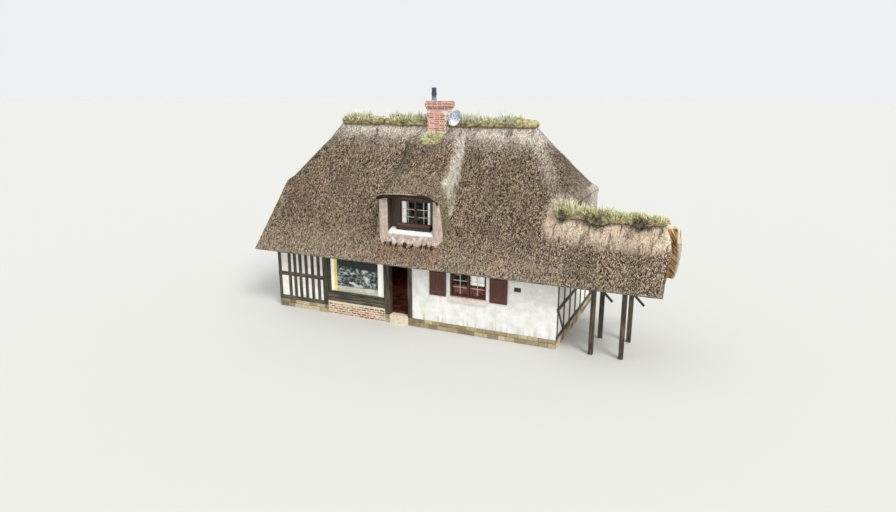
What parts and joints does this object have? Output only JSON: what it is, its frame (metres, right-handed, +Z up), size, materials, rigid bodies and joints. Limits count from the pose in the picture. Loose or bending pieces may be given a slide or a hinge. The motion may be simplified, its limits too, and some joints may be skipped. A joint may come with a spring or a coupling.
{
  "type": "thatched cottage",
  "caption": "Half-timbered cottage with a steep half-hipped thatched roof, dormer window, brick chimney and an open shed under the long end of the thatch.",
  "frame": {"origin": "on the lowest ground, under the middle of the thatched roof's outline", "axes": "+X along the ridge from the left gable towards the open shed, +Y from the front wall towards the back wall, +Z up"},
  "size_m": [17.0297, 7.934, 9.3],
  "materials": {
    "thatch": "weathered reed",
    "turf": "dry turf and clay",
    "lime": "lime-washed plaster",
    "timber": "dark weathered oak",
    "red_wood": "red-brown wood stain",
    "brick": "red brick with pale mortar",
    "stone": "rough stone",
    "render": "pinkish mortar render",
    "glass": "window glass",
    "curtain": "white cotton",
    "cream": "cream paint",
    "iron": "dark grey enamel",
    "dish": "grey powder coat"
  },
  "bodies": {
    "house": {"floor_slab": "stone", "brick_plinth": "brick", "threshold": "stone", "front_wall_left": "lime", "corner_post": "timber", "sill_beam": "timber", "door_post": "timber", "door_jamb": "timber", "door_head": "timber", "front_wall_right": "lime", "front_plate": "timber", "back_wall": "lime", "gable_left": "lime", "gable_right": "lime", "picture_window_frame": "timber", "picture_window_glass": "glass", "curtain_left": "curtain", "curtain_right": "curtain", "window_board": "cream", "casement_frame": "red_wood", "casement_glass": "glass", "casement_sill": "render", "slot_window": "red_wood", "shutter_left": "red_wood", "shutter_right": "red_wood", "back_window_left": "red_wood", "back_window_right": "red_wood", "gable_window_left": "red_wood", "gable_window_right": "red_wood", "attic_floor": "timber", "thatch_front_left": "thatch", "thatch_front_right": "thatch", "thatch_front_lower": "thatch", "thatch_back": "thatch", "thatch_hip_left": "thatch", "thatch_hip_right": "thatch", "thatch_wing_front": "thatch", "thatch_wing_back": "thatch", "thatch_dormer": "thatch", "ridge_cap_left": "turf", "ridge_cap_right": "turf", "wing_ridge_cap": "turf", "dormer_cheek_left": "render", "dormer_cheek_right": "render", "dormer_apron": "render", "dormer_sill": "lime", "dormer_frame": "red_wood", "dormer_glass": "glass", "flower_box": "red_wood", "chimney_stack": "brick", "flue_pipe": "iron", "satellite_dish": "dish", "shed_post_front_1": "timber", "shed_post_front_2": "timber", "shed_post_back_1": "timber", "shed_post_back_2": "timber", "shed_plate_front": "timber", "shed_plate_back": "timber"},
    "door": {"door_leaf": "timber"}
  },
  "joints": [
    {"name": "door_hinge", "type": "hinge", "parent": "house", "child": "door", "pos_m": [-1.529, -3.065, 1.4], "axis": [0, 0, 1], "range_deg": [-20, 90]}
  ]
}
